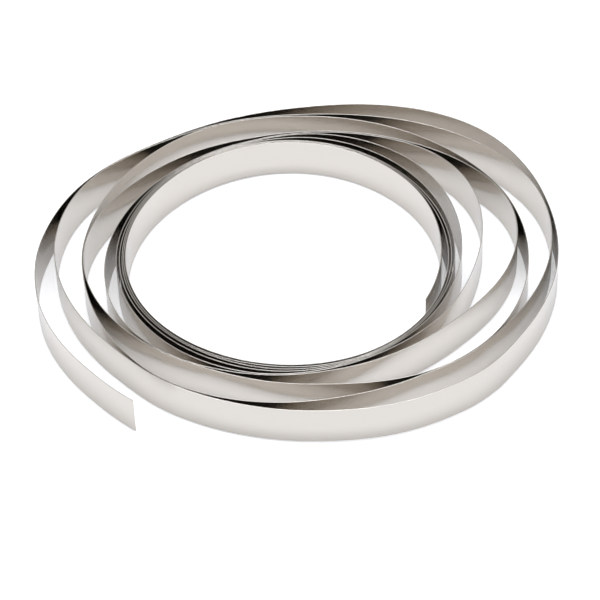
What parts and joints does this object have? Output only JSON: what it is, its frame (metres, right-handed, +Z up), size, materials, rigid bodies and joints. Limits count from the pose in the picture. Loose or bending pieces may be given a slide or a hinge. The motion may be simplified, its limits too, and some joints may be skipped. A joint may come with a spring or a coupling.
{
  "type": "roll of nickel-plated steel strip",
  "caption": "Loosely wound roll of thin bright nickel-plated steel strip, standing on its slit edge, with a round open bore and an outer end that stands free.",
  "frame": {"origin": "middle of the roll's overall box, on the floor that its lower slit edge rests on", "axes": "+Z up across the strip's width, along the bore's axis; +X along the roll's longest side, towards the right as seen from the side where the outer end stands free"},
  "size_m": [0.096, 0.0794, 0.008],
  "materials": {
    "nickel_plate": "bright nickel plate on cold-rolled steel strip"
  },
  "bodies": {
    "root": {"nickel_strip": "nickel_plate"}
  },
  "joints": []
}
